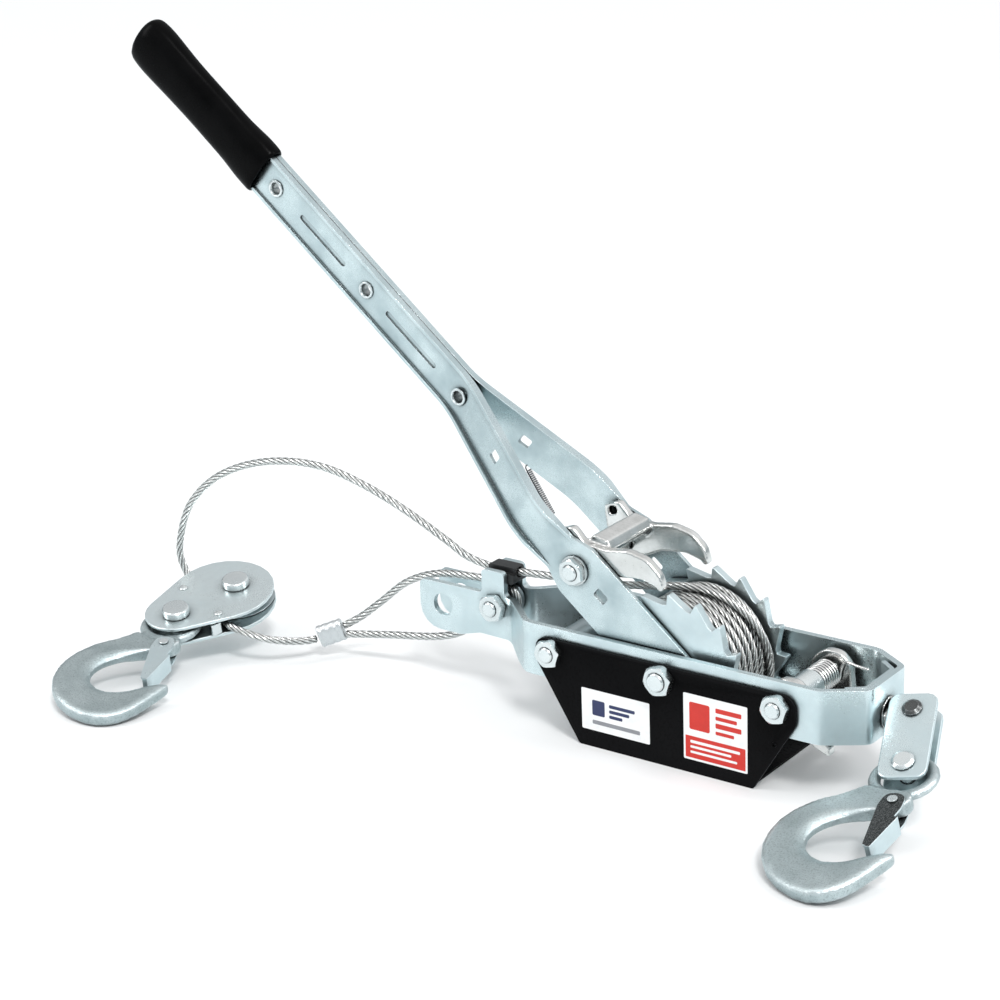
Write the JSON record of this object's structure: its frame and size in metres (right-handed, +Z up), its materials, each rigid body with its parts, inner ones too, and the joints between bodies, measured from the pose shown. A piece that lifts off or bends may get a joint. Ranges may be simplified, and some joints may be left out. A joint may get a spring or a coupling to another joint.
{
  "type": "come along winch",
  "caption": "Hand-worked ratchet cable puller with a forked lever handle, geared rope drum, pulley block and latched hooks at both ends.",
  "frame": {"origin": "on the underside of the black guard, straight below the drum axle", "axes": "+X from the drum towards the nose with the swivel hook, -Y the side with the nuts, +Z up; the drum axle is parallel to Y"},
  "size_m": [0.6098, 0.2272, 0.4083],
  "materials": {
    "zinc_plate": "pale bluish bright zinc plating",
    "zinc_inner": "zinc plating in the shade of the frame, slightly duller",
    "casting": "polished grey casting",
    "forging": "zinc-plated drop forging, fine grainy texture",
    "guard_paint": "satin black paint",
    "grip_vinyl": "glossy black vinyl sleeve",
    "rope_steel": "bright galvanised wire rope",
    "insert_plastic": "matt black moulded plastic",
    "spring_steel": "dark spring wire"
  },
  "bodies": {
    "frame": {"frame_strap": "zinc_plate", "nose_plate": "zinc_plate", "guard": "guard_paint", "waist_bolt": "zinc_plate", "waist_nut": "zinc_plate", "drum_axle_bolt": "zinc_plate", "drum_axle_nut": "zinc_plate", "holding_pawl_bolt": "zinc_plate", "holding_pawl_nut": "zinc_plate", "rope_anchor_bolt": "zinc_plate", "rope_anchor_nut": "zinc_plate", "waist_spacer": "zinc_inner", "rope_thimble": "zinc_inner", "rope_guide_insert": "insert_plastic", "holding_pawl_sleeve": "zinc_plate", "holding_pawl_spring": "zinc_inner", "rope_line": "rope_steel", "rope_eye": "rope_steel", "ferrule": "zinc_plate"},
    "drum": {"drum_core": "zinc_inner", "ratchet_wheel_front": "zinc_plate", "ratchet_wheel_rear": "zinc_plate", "rope_coils": "rope_steel"},
    "handle": {"lever_channel_front": "zinc_plate", "lever_channel_rear": "zinc_plate", "lever_eyelet_1": "zinc_plate", "lever_eyelet_2": "zinc_plate", "lever_eyelet_3": "zinc_plate", "drive_pawl_bolt": "zinc_plate", "drive_pawl_nut": "zinc_plate", "drive_pawl_spring": "spring_steel", "grip": "grip_vinyl"},
    "drive_pawl_body": {"drive_pawl": "casting"},
    "holding_pawl_body": {"holding_pawl": "casting"},
    "swivel": {"swivel_eye": "zinc_inner", "swivel_nut": "zinc_inner"},
    "links": {"link_plate_front": "zinc_plate", "link_plate_rear": "zinc_plate", "swivel_rivet": "zinc_plate", "hook_rivet": "zinc_plate"},
    "nose_hook_body": {"nose_hook": "forging", "nose_latch_pin": "zinc_plate"},
    "nose_latch_body": {"nose_latch": "zinc_plate"},
    "block": {"block_plate_top": "zinc_plate", "block_plate_bottom": "zinc_plate", "sheave_rivet": "zinc_plate", "block_hook_rivet": "zinc_plate", "block_spacer_left": "zinc_inner", "block_spacer_right": "zinc_inner"},
    "sheave_body": {"sheave": "zinc_inner"},
    "block_hook_body": {"block_hook": "forging", "block_latch_pin": "zinc_plate"},
    "block_latch_body": {"block_latch": "zinc_plate"}
  },
  "joints": [
    {"name": "drum_spin", "type": "hinge", "parent": "frame", "child": "drum", "pos_m": [0, 0, 0.056], "axis": [0, 1, 0], "continuous": true},
    {"name": "handle_pivot", "type": "hinge", "parent": "frame", "child": "handle", "pos_m": [0, 0, 0.056], "axis": [0, 1, 0], "range_deg": [-8, 67.5]},
    {"name": "drive_pawl_pivot", "type": "hinge", "parent": "handle", "child": "drive_pawl_body", "pos_m": [-0.06454, 0, 0.10977], "axis": [0, 1, 0], "range_deg": [-35, 5]},
    {"name": "holding_pawl_pivot", "type": "hinge", "parent": "frame", "child": "holding_pawl_body", "pos_m": [0.079, 0, 0.056], "axis": [0, 1, 0], "range_deg": [-9, 6]},
    {"name": "end_swivel", "type": "hinge", "parent": "frame", "child": "swivel", "pos_m": [0.13, 0, 0.05], "axis": [1, 0, 0], "range_deg": [-90, 90]},
    {"name": "link_pivot", "type": "hinge", "parent": "swivel", "child": "links", "pos_m": [0.1472, 0, 0.05], "axis": [0, -0.4618, 0.887], "range_deg": [-20, 40]},
    {"name": "nose_hook_swing", "type": "hinge", "parent": "links", "child": "nose_hook_body", "pos_m": [0.15893, -0.03281, 0.03292], "axis": [0, -0.4618, 0.887], "range_deg": [-35, 35]},
    {"name": "nose_latch_pivot", "type": "hinge", "parent": "nose_hook_body", "child": "nose_latch_body", "pos_m": [0.16885, -0.06535, 0.02579], "axis": [-0.0757, -0.2353, 0.969], "range_deg": [-35, 0]},
    {"name": "block_swing", "type": "hinge", "parent": "frame", "child": "block", "pos_m": [-0.3455, -0.0216, 0.0337], "axis": [0.0799, -0.1997, 0.9766], "range_deg": [-6, 4]},
    {"name": "sheave_spin", "type": "hinge", "parent": "block", "child": "sheave_body", "pos_m": [-0.3455, -0.0216, 0.0337], "axis": [0.0799, -0.1997, 0.9766], "continuous": true},
    {"name": "block_hook_swing", "type": "hinge", "parent": "block", "child": "block_hook_body", "pos_m": [-0.35939, -0.06621, 0.02571], "axis": [0.0799, -0.1997, 0.9766], "range_deg": [-45, 20]},
    {"name": "block_latch_pivot", "type": "hinge", "parent": "block_hook_body", "child": "block_latch_body", "pos_m": [-0.34526, -0.09544, 0.01958], "axis": [0.0916, -0.1618, 0.9826], "range_deg": [-35, 0]}
  ],
  "couplings": [
    {"joint": "sheave_spin", "follows": "drum_spin", "ratio": -0.83}
  ]
}
